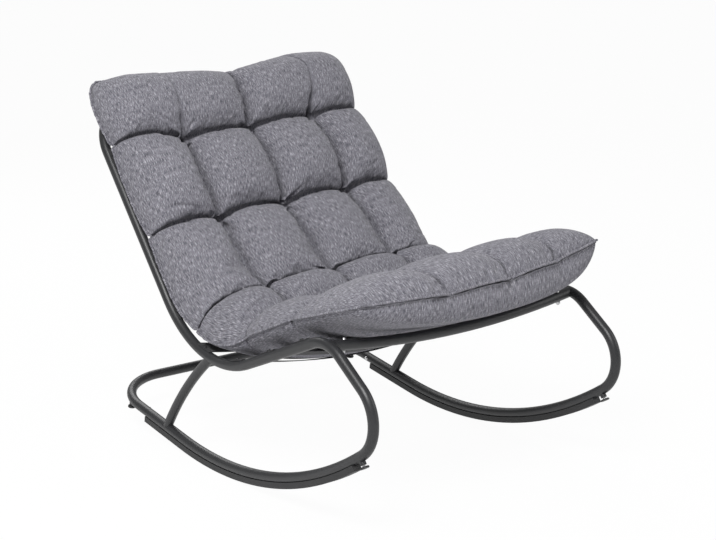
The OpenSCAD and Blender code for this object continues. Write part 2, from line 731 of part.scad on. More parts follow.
// Roundness towards the pad's two ends and its two sides
function end_round(d, len) = d >= len ? 1 : sqrt(max(1 - pow(1 - d / len, 2), 0));
function ends_at(s, front = end_round_front) =
    min(end_round(s - pad_front_s, front), end_round(pad_top_s - s, end_round_top));
function side_round(u, p) = pow(max(1 - pow(abs(u), p), 0), 0.5);
function half_at(s) = pad_half(s) - side_draw * (1 - row_fill(s)) - corner_draw * (1 - ends_at(s));

function top_n(u, s) = let (low = tuft_level(s), seam = seam_level(s))
    seam + seam_flat + (low + (pillow_level(s) - low) * puff(u, s) - seam)
        * ends_at(s) * side_round(u, top_side_power);
function bottom_n(u, s) = let (mid = lookup(s, bottom_levels), seam = seam_level(s),
        floor_n = mid + (edge_level - mid) * pow(abs(u), 2))
    seam - seam_flat - (seam - seam_flat - floor_n)
        * ends_at(s, end_round_under) * side_round(u, bottom_side_power);

// Points across the pad, from one side to the other: shares of the half width
function both_ways(us) = concat([for (i = [len(us) - 1:-1:0]) -us[i]], [0], us);
column_shares = [0.25, 0.5, 0.75, 1];
edge_shares = [0.24, 0.66, 0.91, 1];
top_us = both_ways(concat([for (k = column_shares) k * tuft_column],
    [for (k = edge_shares) tuft_column + k * (1 - tuft_column)]));
bottom_us = [0.97, 0.88, 0.6, 0.2, -0.2, -0.6, -0.88, -0.97];

// Stations along the pad: shares of each row, closer together at the two round ends
front_shares = [0, 0.02, 0.07, 0.15, 0.27, 0.43, 0.57, 0.7, 0.85];
middle_shares = [0, 0.16, 0.38, 0.62, 0.84];
top_shares = [0, 0.15, 0.4, 0.62, 0.76, 0.88, 0.97];
pad_stations = concat(
    [for (r = [0:rows - 1]) for (t = r == 0 ? front_shares : r == rows - 1 ? top_shares : middle_shares)
        row_edges[r] + (row_edges[r + 1] - row_edges[r]) * t],
    [pad_top_s]);

function on_pad(x, n, s) = let (p = rail_at(s) + n * left_of(angle_at(s))) [x, p[0], p[1]];
function pad_ring(s) = concat(
    [for (u = top_us) on_pad(u * half_at(s), top_n(u, s), s)],
    [for (u = bottom_us) on_pad(u * half_at(s), bottom_n(u, s), s)]);

// Inside of the pad: the same form on fewer points, a skin's thickness further in
skin_t = 6;
side_skin = 12;
end_skin = 12;
inner_edge = 4;
inner_us = both_ways([for (k = [0.24, 0.76, 1]) k * tuft_column]);
inner_top_us = concat([-1, -0.86, -0.64], inner_us, [0.64, 0.86, 1]);
inner_bottom_us = [0.6, 0, -0.6];
inner_front_shares = [0.17, 0.3, 0.85];
inner_middle_shares = [0, 0.2, 0.8];
inner_top_shares = [0, 0.2, 0.75];
inner_stations = concat([pad_front_s + end_skin],
    [for (r = [0:rows - 1]) for (t = r == 0 ? inner_front_shares : r == rows - 1 ? inner_top_shares
        : inner_middle_shares) row_edges[r] + (row_edges[r + 1] - row_edges[r]) * t],
    [pad_top_s - end_skin]);
function inner_top(u, s) = abs(u) == 1 ? seam_level(s) + inner_edge : top_n(u, s) - skin_t;
function inner_x(u, s) = let (most = half_at(s) - side_skin) max(min(u * half_at(s), most), -most);
function inner_ring(s) = concat(
    [for (u = inner_top_us) on_pad(inner_x(u, s), inner_top(u, s), s)],
    [for (u = inner_bottom_us) on_pad(inner_x(u, s), bottom_n(u, s) + skin_t, s)]);

// Closed skin over rings of points that all have the same count: nt along the top, then nb below
module skin(rings, nt, nb) {
    n = nt + nb;
    m = len(rings);
    function at(j, i) = j * n + i % n;
    function under(i) = n - 1 - round(i * (nb - 1) / (nt - 2));
    function over(k) = ceil((k + 0.5) * (nt - 2) / (nb - 1));
    cap = concat(
        [for (i = [0:nt - 2]) [i, i + 1, under(i)]],
        [for (k = [0:nb - 2]) [n - 2 - k, n - 1 - k, over(k)]]);
    polyhedron(
        points = [for (ring = rings) for (p = ring) p],
        faces = concat(
            [for (j = [0:m - 2]) for (i = [0:n - 1]) [at(j, i), at(j + 1, i), at(j, i + 1)]],
            [for (j = [0:m - 2]) for (i = [0:n - 1]) [at(j, i + 1), at(j + 1, i), at(j + 1, i + 1)]],
            [for (f = cap) f],
            [for (f = cap) [for (k = [2, 1, 0]) (m - 1) * n + f[k]]]));
}

module cushion()
    color(pad_colour) difference() {
        skin([for (s = pad_stations) pad_ring(s)], len(top_us), len(bottom_us));
        skin([for (s = inner_stations) inner_ring(s)], len(inner_top_us), len(inner_bottom_us));
    }

side_tube_left();
side_tube_right();
side_strut_left();
side_strut_right();
base_rear_hoop();
back_top_hoop();
front_cross_tube();
cross_tube_stubs();
hoop_screws();
hoop_nuts();
cross_tube_bolts();
cross_tube_nuts();
rocker_strip_left();
rocker_strip_right();
rocker_strip_screws();
stop_foot_bosses();
stop_stem_front_left();
stop_stem_front_right();
stop_stem_rear_left();
stop_stem_rear_right();
stop_disc_front_left();
stop_disc_front_right();
stop_disc_rear_left();
stop_disc_rear_right();
seat_strap_front();
seat_strap_middle();
seat_strap_rear();
back_strap_1();
back_strap_2();
back_strap_3();
back_strap_4();
back_strap_5();
strap_screws();
strap_washers();
cushion_loops();
cushion();
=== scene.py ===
"""Looks of the outdoor rocking chair: materials, the tufted pad, floor, light and camera."""

import json
import math

import bpy
import numpy as np
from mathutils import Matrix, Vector


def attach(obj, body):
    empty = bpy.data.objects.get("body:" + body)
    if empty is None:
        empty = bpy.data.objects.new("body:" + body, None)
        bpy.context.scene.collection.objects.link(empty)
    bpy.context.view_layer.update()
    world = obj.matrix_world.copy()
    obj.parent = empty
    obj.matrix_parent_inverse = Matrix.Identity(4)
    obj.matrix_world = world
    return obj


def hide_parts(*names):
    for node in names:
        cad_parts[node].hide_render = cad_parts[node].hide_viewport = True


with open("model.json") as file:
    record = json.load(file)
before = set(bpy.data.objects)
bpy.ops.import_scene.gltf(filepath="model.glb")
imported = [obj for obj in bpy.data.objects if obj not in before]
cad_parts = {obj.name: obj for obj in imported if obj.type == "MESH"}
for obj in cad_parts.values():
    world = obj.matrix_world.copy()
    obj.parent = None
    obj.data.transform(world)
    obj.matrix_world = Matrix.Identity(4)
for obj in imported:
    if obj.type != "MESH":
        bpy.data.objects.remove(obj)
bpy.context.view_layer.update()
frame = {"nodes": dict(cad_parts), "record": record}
MM = 0.001
TINY = 1e-9

# Camera, fitted to the two side frames of the photograph (m, degrees, mm).
CAMERA_PLACE = (-2.4794, -3.2323, 1.4694)
CAMERA_TURN = (75.91, 0.0, -38.20)
CAMERA_LENS = 83.83
CAMERA_REACH = 60.0
SENSOR = 36.0

# Lamps: name, place (m), the point each one faces, size (m) and power (W).
LAMPS = [
    ("key", (-2.2, -1.6, 3.2), (0, 0, 0.45), (1.3, 1.3), 130),
    ("fill", (2.6, -2.4, 2.0), (0, 0, 0.4), (2.0, 2.0), 22),
    ("back", (0.6, 3.0, 2.6), (0, 0.2, 0.5), (2.4, 1.2), 45),
]
WHITE = (1, 1, 1, 1)
SKY_LIGHT = 0.38
SKY_SEEN = 1.0
FLOOR_REACH = 14.0
FLOOR_TONE = (0.86, 0.86, 0.86, 1)
# The share of plain white in what the camera sees of the floor: the rest takes light and shadow.
FLOOR_WHITE = 0.96

# The side frame's bend, as in the CAD model (mm, degrees).
SEAT_SLOPE = 23.5
BACK_SLOPE = 50.4
BEND_R = 295.0
BEND_TURN = SEAT_SLOPE + BACK_SLOPE
BEND_LEN = BEND_R * math.radians(BEND_TURN)
RAIL_END = np.array([-136.6, 303.9])
RAIL_X = 372.5

# The pad in mm: s runs along the rail from front to top, n square to it, u across from -1 to 1.
# Its front end, its five sewn rows and its top end, and the pad's half width and levels along s.
ROW_LINES = [-484.0, -185.0, 17.0, 245.0, 542.0, 782.0, 988.0]
HALF_WIDTH = [(-484, 374), (-185, 370), (17, 370), (150, 375), (245, 379), (536, 381), (770, 382), (988, 382)]
TUFT_LEVEL = [(-484, 70), (-185, 84), (17, 84), (245, 138), (542, 76), (782, 74), (988, 66)]
CROWN_LEVEL = [(-484, 116), (-330, 120), (-185, 122), (-77, 130), (90, 168), (160, 178), (245, 172),
               (390, 153), (650, 146), (880, 144), (988, 142)]
SEAM_LEVEL = [(-484, 62), (-317, 73), (-199, 84), (-23, 82), (60, 70), (245, 48), (536, 40), (770, 42),
              (988, 44)]
# The front seam sags in its middle and is drawn down at each sewn column.
SEAM_SAG = 28.0
SEAM_WAVE = 7.0

# The three sewn columns lie at u = -TUFT_COLUMN, 0 and TUFT_COLUMN. Towards the front they stray sideways,
# the far one less, and between two tufts they bow (in u).
TUFT_COLUMN = 0.53
COLUMN_STRAY = [(-484, 0.14), (-171, 0.05), (17, 0.0), (988, 0.0)]
FAR_STRAY = 0.4
COLUMN_BOW = (0.0, 0.026, 0.03)
# How deep each column's crease is along the pad: the outer two fade out above the top row of tufts.
OUTER_STRENGTH = [(-484, 0.9), (782, 1.0), (840, 0.2), (988, 0.05)]
MIDDLE_STRENGTH = [(-484, 1.0), (782, 1.0), (900, 0.95), (988, 0.8)]

# How the front end, the top end and the top row line bow across the pad: from u to mm along s.
FRONT_BOW = [(-1, 54), (-0.75, 22), (-0.5, 2), (0, -4), (0.8, 0), (1, 8)]
TOP_BOW = [(-1, 28), (-0.75, 24), (-0.4, 6), (-0.1, -10), (0.2, -10), (0.55, 6), (0.8, 2), (1, -2)]
BOW_REACH = 130.0
ROW_BOW = [(-1, 34), (-0.75, 25), (-0.53, 0), (1, 0)]
ROW_BOW_REACH = 110.0
# How far each sewn row, from the front to the top, arches up between its tufts.
ROW_ARCH = [3.0, 8.0, 14.0, 18.0, 12.0]
ARCH_REACH = 70.0
# At the front end the creases lie this much further back than the pillows.
FRONT_PUFF = 12.0

# How the sides draw in at the sewn rows and at both ends, and how long each end takes to round off.
EDGE_DRAW = 12.0
END_DRAW_FRONT = 20.0
END_DRAW_TOP = 34.0
END_FRONT = 85.0
END_TOP = 80.0
END_UNDER = 38.0
SIDE_POWER = 7.0
UNDER_POWER = 6.0

# A pillow's profile: a share that rises steeply from its crease, and the rest as a plain arch.
STEEP_SHARE = 0.55
STEEP_POWER = 0.24
ARCH_POWER = 0.9
# How far the sewn columns dip between two tufts, and how much of a pillow's rise the sewn rows keep.
COLUMN_DIP = 0.76
ROW_KEEP = 0.18
# Creases before the cloth is swelled, and the narrower stitched lines that are pressed in after it.
CREASE_DEPTH = 14.0
CREASE_WIDTH = 5.5
STITCH_DEPTH = 9.0
STITCH_WIDTH = 3.4
CROSSING_LIMIT = 1.4

# Folds that gather at a tuft, and a few that the photograph shows by themselves, each from (x, s) to
# (x, s) with its depth.
FOLD_SEED = 7
FOLDS_AT_TUFT = 6
FOLD_START = 5.0
FOLD_STRAY = 0.25
FOLD_LENGTH = (28.0, 66.0)
FOLD_DEPTH = (6.0, 11.0)
FOLD_WIDTH = 4.5
LONE_FOLDS = [
    ((22, 985), (34, 925), 7.0),
    ((-285, 832), (-215, 795), 6.0),
    ((-330, 585), (-250, 560), 6.0),
    ((-350, 60), (-240, 85), 8.0),
    ((310, 590), (250, 560), 5.0),
    ((300, 640), (360, 600), 5.0),
]

# Underside: it rests on each strap across the middle, on the hoop's loops, and over the rails at the sides.
REAR_SEAT_STRAP = 40
SEAT_STRAP_PITCH = 141
BACK_STRAP_PITCH = 150
BACK_STRAPS = 5
STRAP_PLACES = [REAR_SEAT_STRAP - SEAT_STRAP_PITCH, REAR_SEAT_STRAP]
STRAP_PLACES += [REAR_SEAT_STRAP + i * BACK_STRAP_PITCH for i in range(1, BACK_STRAPS + 1)]
STRAP_LEVELS = [-32.0, -31.0, -21.0, -16.0, -12.0, -7.0, -2.0]
STRAP_REACH = 64.0
FRONT_STRAP = [(-484, -24.0), (-300, -24.0), (-270, -32.0), (-178, -32.0)]
TOP_LOOPS = [(928, 15.3), (988, 15.3)]
ON_STRAPS = [(place_at + reach, level) for place_at, level in zip(STRAP_PLACES, STRAP_LEVELS)
             for reach in (-STRAP_REACH, STRAP_REACH)]
REST_LEVEL = FRONT_STRAP + ON_STRAPS + TOP_LOOPS
EDGE_LEVEL = 20.2
# In front of the cross tube the pad hangs down a little.
LIP_START = -362.0
LIP_REACH = 40.0
LIP_DROP = 9.0
# The pad lies a little towards the far rail, rides up on it and is a little askew.
PAD_SHIFT = 9.0
PAD_ROLL = 0.055
PAD_SKEW = 0.03

# The pad's mesh before it is made finer: cell size, rings at the rounded ends, points beside each crease.
CELL = 7.0
FRONT_RINGS = 24
TOP_RINGS = 20
CREASE_STEP = 3.0
CLEAR_STEPS = 1.8
MEAN_HALF_WIDTH = 375.0
TOP_RISE = 100.0
UNDER_RISE = 60.0
OUTLINE_SAMPLES = 4001
POINT_GROUP = 8
SEAM_FLAT = 3.0

# The cloth simulation: how firmly the edge seam is held, from what strength on a column is pinned, its
# length in frames and how far a point may move (m).
SEAM_HOLD = 0.4
PINNED_FROM = 0.6
CLOTH_FRAMES = 20
SWELL_LIMIT = 0.022
CLOTH_SETTINGS = {
    "quality": 5,
    "mass": 0.3,
    "tension_stiffness": 12,
    "compression_stiffness": 12,
    "shear_stiffness": 4,
    "bending_stiffness": 0.3,
    "use_pressure": True,
    "uniform_pressure_force": 4,
    "shrink_min": -0.03,
    "vertex_group_mass": "sewn",
}

# The seam cord round the pad's edge (m), and how far the cloth is drawn out to it.
SEAM_RIDGE = 5.0 * MM
CORD_RADIUS = 2.8 * MM
CORD_OUT = 1.5 * MM
CORD_SIDES = 10
CORD_SMOOTHING = 2
CORD_WRAP = 0.016
CORD_FIRST_ACROSS = (0.3, 0.2, 0.9)

# Streaks of the heathered cloth: stretch along the cloth's map, and share.
CLOTH_STREAKS = [((560, 72, 1), 0.60), ((90, 450, 1), 0.12), ((1000, 230, 1), 0.28)]
CLOTH_CLOUD = 0.05
CLOTH_TONES = [
    (0.35, (0.052, 0.051, 0.063)),
    (0.45, (0.135, 0.132, 0.155)),
    (0.54, (0.230, 0.226, 0.256)),
    (0.65, (0.46, 0.45, 0.485)),
]
THREAD_SCALE = 260.0
COAT_TONES = [(0.3, (0.019, 0.0195, 0.021)), (0.7, (0.026, 0.0265, 0.0285))]
PLASTIC_TONES = [(0.3, (0.014, 0.014, 0.015)), (0.7, (0.026, 0.026, 0.027))]
WEBBING_TONES = [(0.1, (0.012, 0.012, 0.013)), (0.8, (0.048, 0.048, 0.052))]
ZINC_TONES = [(0.35, (0.42, 0.42, 0.42)), (0.65, (0.60, 0.60, 0.61))]


def way(degrees):
    a = np.radians(degrees)
    return np.stack([np.cos(a), np.sin(a)], -1)


def left_of(degrees):
    a = np.radians(degrees)
    return np.stack([-np.sin(a), np.cos(a)], -1)


BEND_C = RAIL_END + BEND_R * left_of(-SEAT_SLOPE)
BACK_START = BEND_C - BEND_R * left_of(BACK_SLOPE)


def slope_at(s):
    return np.clip(s, 0, BEND_LEN) / BEND_LEN * BEND_TURN - SEAT_SLOPE


def rail_at(s):
    """The rail's centre line: straight seat, bend, straight back."""
    along = s[..., None]
    seat = RAIL_END + along * way(np.full_like(s, -SEAT_SLOPE))
    back = BACK_START + (along - BEND_LEN) * way(np.full_like(s, BACK_SLOPE))
    bend = BEND_C - BEND_R * left_of(slope_at(s))
    return np.where(along < 0, seat, np.where(along > BEND_LEN, back, bend))


def look_up(table, s):
    table = np.array(table, float)
    return np.interp(s, table[:, 0], table[:, 1])


def near_front(s):
    """1 at the front end, falling to 0 over the reach of its bow."""
    return np.clip((ROW_LINES[0] + BOW_REACH - s) / BOW_REACH, 0, 1)


def place(x, n, s):
    """Pad coordinates to metres, with the shift, roll and skew of a pad that was laid on by hand."""
    u = x / HALF_WIDTH[-1][1]
    fill = column_fill(np.clip(u, -1, 1), s)
    for line, arch in zip(ROW_LINES[1:-1], ROW_ARCH):
        s = s + arch * fill * np.exp(-((s - line) / ARCH_REACH) ** 2)
    at_front = 1 - round_end(s - ROW_LINES[0], END_FRONT)
    s = s + (1 - fill) * FRONT_PUFF * at_front
    n = n + PAD_ROLL * x
    s = s + PAD_SKEW * x + look_up(FRONT_BOW, u) * near_front(s)
    s = s + look_up(TOP_BOW, u) * np.clip((s - ROW_LINES[-1] + BOW_REACH) / BOW_REACH, 0, 1)
    s = s + look_up(ROW_BOW, u) * np.exp(-((s - ROW_LINES[-2]) / ROW_BOW_REACH) ** 2)
    flat = rail_at(s) + n[..., None] * left_of(slope_at(s))
    return np.stack([x + PAD_SHIFT, flat[..., 0], flat[..., 1]], -1) * MM


def pillow(t):
    """Height of a pillow from one crease (t = 0) to the next (t = 1)."""
    arch = np.maximum(np.sin(np.pi * np.clip(t, 0, 1)), 0)
    return STEEP_SHARE * arch ** STEEP_POWER + (1 - STEEP_SHARE) * arch ** ARCH_POWER


def row_of(s):
    edges = np.array(ROW_LINES)
    row = np.clip(np.searchsorted(edges, s, side="right") - 1, 0, len(edges) - 2)
    return row, (s - edges[row]) / (edges[row + 1] - edges[row])


def row_fill(s):
    """Height along the pad; the two end rows keep theirs up to the end, which is rounded by itself."""
    row, t = row_of(s)
    fill = pillow(t)
    last = len(ROW_LINES) - 2
    fill = np.where((row == 0) & (t < 0.5), 1, fill)
    return np.where((row == last) & (t > 0.5), 1, fill)


def column_lines(s):
    """The three tuft columns across the pad: they stray towards the front and bow between two tufts."""
    stray = look_up(COLUMN_STRAY, s)
    row, t = row_of(s)
    bow = np.where(row > 0, np.sin(np.pi * np.clip(t, 0, 1)), 0)
    plain = [stray - TUFT_COLUMN, stray, stray * FAR_STRAY + TUFT_COLUMN]
    return [line + reach * bow for line, reach in zip(plain, COLUMN_BOW)]


def column_strengths(s):
    outer = look_up(OUTER_STRENGTH, s)
    return [outer, look_up(MIDDLE_STRENGTH, s), outer]


def column_fill(u, s):
    """Height across the pad: 0 in a full crease and at most 1 on a pillow."""
    lines = [np.full_like(s, -1)] + column_lines(s) + [np.full_like(s, 1)]
    strengths = [np.zeros_like(s)] + column_strengths(s) + [np.zeros_like(s)]
    fill = np.ones_like(s)
    for i in range(len(lines) - 1):
        t = (u - lines[i]) / (lines[i + 1] - lines[i])
        strength = np.where(t < 0.5, strengths[i], strengths[i + 1])
        part = 1 - (1 - pillow(t)) * strength
        fill = np.where((u >= lines[i]) & (u <= lines[i + 1]), part, fill)
    return fill


def round_end(d, length):
    inside = np.sqrt(np.maximum(1 - (1 - np.clip(d, 0, length) / length) ** 2, 0))
    return np.where(d >= length, 1, inside)


def end_fill(s, front=END_FRONT):
    return np.minimum(round_end(s - ROW_LINES[0], front), round_end(ROW_LINES[-1] - s, END_TOP))


def side_fill(u, power):
    return np.sqrt(np.maximum(1 - np.abs(u) ** power, 0))


def seam_at(u, s):
    wave = SEAM_WAVE * (1 - column_fill(u, s))
    return look_up(SEAM_LEVEL, s) - (SEAM_SAG * (1 - u ** 2) + wave) * near_front(s)


def half_width(s):
    draw = np.where(s < 0, END_DRAW_FRONT, END_DRAW_TOP)
    return look_up(HALF_WIDTH, s) - EDGE_DRAW * (1 - row_fill(s)) - draw * (1 - end_fill(s))


def crease(u, s, width):
    """How near a point is to the sewn rows and columns, from 0 to a little over 1."""
    row = np.min([np.abs(s - line) for line in ROW_LINES[1:-1]], axis=0)
    depth = np.exp(-(row / width) ** 2)
    for line, strength in zip(column_lines(s), column_strengths(s)):
        depth = depth + strength * np.exp(-(np.abs(u - line) * half_width(s) / width) ** 2)
    return np.minimum(depth, CROSSING_LIMIT)


def all_folds():
    """Each fold as two ends and a depth: the lone ones, and some around each tuft."""
    chance = np.random.default_rng(FOLD_SEED)
    folds = list(LONE_FOLDS)
    for line in ROW_LINES[1:-1]:
        for column in column_lines(np.array(line)):
            x = float(column) * float(look_up(HALF_WIDTH, line))
            start = chance.uniform(0, 2 * math.pi)
            for k in range(FOLDS_AT_TUFT):
                turn = start + 2 * math.pi * (k + chance.uniform(-FOLD_STRAY, FOLD_STRAY)) / FOLDS_AT_TUFT
                reach = chance.uniform(*FOLD_LENGTH)
                ends = [(x + r * math.cos(turn), line + r * math.sin(turn))
                        for r in (FOLD_START, FOLD_START + reach)]
                folds.append((ends[0], ends[1], chance.uniform(*FOLD_DEPTH)))
    return folds


def fold_depth(x, s):
    """Depth of all folds at a point; each one is deepest at its start."""
    total = np.zeros_like(x)
    for start, end, depth in all_folds():
        run = (end[0] - start[0], end[1] - start[1])
        along = ((x - start[0]) * run[0] + (s - start[1]) * run[1]) / (run[0] ** 2 + run[1] ** 2)
        along = np.clip(along, 0, 1)
        off = np.hypot(x - start[0] - along * run[0], s - start[1] - along * run[1])
        total = total + depth * (1 - along ** 2) * np.exp(-(off / FOLD_WIDTH) ** 2)
    return total


def pad_top(u, s):
    across = column_fill(u, s)
    along = row_fill(s)
    fill = along * (1 - COLUMN_DIP * (1 - across)) + (1 - along) * across * ROW_KEEP
    low = look_up(TUFT_LEVEL, s)
    high = look_up(CROWN_LEVEL, s)
    seam = seam_at(u, s)
    level = low + (high - low) * fill - CREASE_DEPTH * crease(u, s, CREASE_WIDTH) - seam
    return seam + SEAM_FLAT + level * end_fill(s) * side_fill(u, SIDE_POWER)


def pad_under(u, s):
    """The underside: it sags between the rails as the straps do, and stays on them when the pad rolls."""
    seam = seam_at(u, s)
    x = u * half_width(s)
    middle = look_up(REST_LEVEL, s)
    from_middle = np.minimum(np.abs(x + PAD_SHIFT) / RAIL_X, 1)
    floor = middle + (EDGE_LEVEL - middle) * from_middle ** 2 - PAD_ROLL * x
    floor = floor - LIP_DROP * np.clip((LIP_START - s) / LIP_REACH, 0, 1)
    return seam - SEAM_FLAT - (seam - SEAM_FLAT - floor) * end_fill(s, END_UNDER) * side_fill(u, UNDER_POWER)


def even_cross(power, rise):
    """Values of u from -1 to 1 that are evenly apart along a pillow's outline."""
    u = np.linspace(-1, 1, OUTLINE_SAMPLES)
    line = np.hypot(np.diff(u * MEAN_HALF_WIDTH), np.diff(rise * side_fill(u, power)))
    total = np.concatenate([[0], np.cumsum(line)])
    count = int(round(total[-1] / CELL / POINT_GROUP)) * POINT_GROUP + 1
    return np.interp(np.linspace(0, total[-1], count), total, u)


def with_lines(values, lines, step):
    """Puts a value on each line and one close by on both sides, in place of those that were there."""
    far = np.min([np.abs(values - line) for line in lines], axis=0) > CLEAR_STEPS * step
    extra = [line + k * step for line in lines for k in (-1, 0, 1)]
    values = np.sort(np.concatenate([values[far], extra]))
    return values, [int(np.argmin(np.abs(values - line))) for line in lines]


def follow_columns(u, s):
    """Slides the points across so that three lines of them run along the tuft columns."""
    fixed = [-1, -TUFT_COLUMN, 0, TUFT_COLUMN, 1]
    lines = [np.full_like(s, -1)] + column_lines(s) + [np.full_like(s, 1)]
    out = u.copy()
    for i in range(len(fixed) - 1):
        t = (u - fixed[i]) / (fixed[i + 1] - fixed[i])
        inside = (u >= fixed[i]) & (u <= fixed[i + 1])
        out = np.where(inside, lines[i] + t * (lines[i + 1] - lines[i]), out)
    return out


def stations_along():
    """Stations from the front to the top, closer where the ends round off and beside the sewn rows."""
    quarter = math.pi / 2
    front = ROW_LINES[0] + END_FRONT * (1 - np.cos(np.linspace(0, quarter, FRONT_RINGS)))
    top = ROW_LINES[-1] - END_TOP * (1 - np.cos(np.linspace(quarter, 0, TOP_RINGS)))
    count = int((top[0] - front[-1]) / CELL)
    s = np.concatenate([front, np.linspace(front[-1], top[0], count)[1:-1], top])
    return with_lines(s, ROW_LINES[1:-1], CREASE_STEP)


def pad_grid():
    """Rings of points round the pad, the flat (x, s) of those on top, and which rings and points are sewn."""
    u_top, columns = with_lines(even_cross(SIDE_POWER, TOP_RISE), [-TUFT_COLUMN, 0, TUFT_COLUMN],
                                CREASE_STEP / MEAN_HALF_WIDTH)
    u_under = even_cross(UNDER_POWER, UNDER_RISE)[::-1][1:-1]
    s, rows = stations_along()
    u, along = np.meshgrid(u_top, s)
    u = follow_columns(u, along)
    over = place(u * half_width(along), pad_top(u, along), along)
    flat = np.stack([u * half_width(along), along], -1)
    u, along = np.meshgrid(u_under, s)
    under = place(u * half_width(along), pad_under(u, along), along)
    return np.concatenate([over, under], 1), flat, rows, columns


def finer(points, axis, closed):
    """Puts one more point between each two neighbours, on the cubic curve through the four around it."""
    own = np.moveaxis(points, axis, 0)
    if closed:
        line = np.concatenate([own[-1:], own, own[:2]])
        gaps = len(own)
    else:
        line = np.concatenate([2 * own[:1] - own[1:2], own, 2 * own[-1:] - own[-2:-1]])
        gaps = len(own) - 1
    between = (9 * (line[1:gaps + 1] + line[2:gaps + 2]) - line[:gaps] - line[3:gaps + 3]) / 16
    out = np.empty((len(own) + gaps, *own.shape[1:]))
    out[0::2] = own
    out[1::2] = between
    return np.moveaxis(out, 0, axis)


def press_folds(points, flat):
    """Presses the folds and the stitched lines into the top skin, square to it."""
    count_top = flat.shape[1]
    top = points[:, :count_top]
    normal = np.cross(np.gradient(top, axis=1), np.gradient(top, axis=0))
    normal /= np.maximum(np.linalg.norm(normal, axis=-1, keepdims=True), TINY)
    x = flat[..., 0]
    s = flat[..., 1]
    depth = fold_depth(x, s) + STITCH_DEPTH * crease(x / half_width(s), s, STITCH_WIDTH)
    out = points.copy()
    out[:, :count_top] = top - normal * depth[..., None] * MM
    return out


def raise_seam(points, count_top):
    """Draws the sewn edge out from the pad all round, as a piped seam stands."""
    out = points.copy()
    for side in (0, count_top - 1):
        out[:, side, 0] += math.copysign(SEAM_RIDGE, out[0, side, 0])
    for ring, sign in ((0, -1), (-1, 1)):
        out[ring, :, 1:] += sign * SEAM_RIDGE * way(slope_at(ROW_LINES[ring]))
    return out


def end_cap(upper, lower, flip):
    """Triangles between the top and under halves of an end ring, which meet at both of their ends."""
    faces = []
    i = 0
    j = 0
    last_i = len(upper) - 1
    last_j = len(lower) - 1
    while i < last_i or j < last_j:
        step_upper = j == last_j or (i < last_i and (i + 1) / last_i <= (j + 1) / last_j)
        corners = [upper[i], lower[j], upper[i + 1] if step_upper else lower[j + 1]]
        if step_upper:
            i += 1
        else:
            j += 1
        if len(set(corners)) == 3:
            faces.append(tuple(corners if flip else corners[::-1]))
    return faces


def new_mesh(name, points, faces):
    mesh = bpy.data.meshes.new(name)
    mesh.from_pydata([tuple(p) for p in points], [], faces)
    mesh.update()
    return mesh


def ring_mesh(name, points, count_top):
    """A closed skin from rings of points: one ring for each station along the pad."""
    rings, around, _ = points.shape
    at = np.arange(rings * around).reshape(rings, around)
    after = np.roll(at, -1, 1)
    side = np.stack([at[:-1], after[:-1], after[1:], at[1:]], -1).reshape(-1, 4)
    faces = [tuple(face) for face in side.tolist()]
    for ring, flip in ((0, False), (-1, True)):
        upper = at[ring, :count_top].tolist()
        lower = [upper[0]] + at[ring, count_top:][::-1].tolist() + [upper[-1]]
        faces += end_cap(upper, lower, flip)
    return new_mesh(name, points.reshape(-1, 3), faces)


def new_object(name, mesh):
    piece = bpy.data.objects.new(name, mesh)
    bpy.context.scene.collection.objects.link(piece)
    return piece


class Shader:
    """A small helper that builds the nodes of a material or of the world."""

    def __init__(self, owner, output="ShaderNodeOutputMaterial"):
        owner.use_nodes = True
        self.owner = owner
        self.tree = owner.node_tree
        self.tree.nodes.clear()
        self.out = self.tree.nodes.new(output)

    def add(self, kind, links=None, **settings):
        node = self.tree.nodes.new(kind)
        for key, value in settings.items():
            setattr(node, key, value)
        for key, value in (links or {}).items():
            socket = node.inputs[key]
            if isinstance(value, bpy.types.NodeSocket):
                self.tree.links.new(value, socket)
            else:
                socket.default_value = value
        return node

    def math(self, operation, a, b):
        return self.add("ShaderNodeMath", {0: a, 1: b}, operation=operation).outputs[0]

    def line(self, start, gain, value):
        """start + gain * value"""
        return self.math("ADD", start, self.math("MULTIPLY", value, gain))

    def object_vector(self):
        return self.add("ShaderNodeTexCoord").outputs["Object"]

    def noise(self, vector, scale, detail=2.0, rough=0.5):
        return self.add("ShaderNodeTexNoise", {"Vector": vector, "Scale": scale, "Detail": detail,
                                               "Roughness": rough}).outputs["Fac"]

    def wave(self, vector, direction, scale, distortion, detail=2.0):
        return self.add("ShaderNodeTexWave", {"Vector": vector, "Scale": scale, "Distortion": distortion,
                                              "Detail": detail}, bands_direction=direction).outputs["Fac"]

    def stretch(self, vector, scale):
        return self.add("ShaderNodeMapping", {"Vector": vector, "Scale": scale}).outputs[0]

    def ramp(self, value, stops):
        node = self.add("ShaderNodeValToRGB", {"Fac": value})
        ramp = node.color_ramp
        while len(ramp.elements) < len(stops):
            ramp.elements.new(0.5)
        for element, (position, colour) in zip(ramp.elements, stops):
            element.position = position
            element.color = (*colour, 1)
        return node.outputs[0]

    def bump(self, height, distance, strength):
        return self.add("ShaderNodeBump", {"Height": height, "Distance": distance,
                                           "Strength": strength}).outputs[0]

    def finish(self, surface):
        self.tree.links.new(surface, self.out.inputs["Surface"])
        return self.owner

    def finish_body(self, **sockets):
        """Ends the material with one body, its sockets named as in Blender but with _ for a space."""
        links = {name.replace("_", " "): value for name, value in sockets.items()}
        return self.finish(self.add("ShaderNodeBsdfPrincipled", links).outputs[0])


def material_shader(name):
    return Shader(bpy.data.materials.new(name))


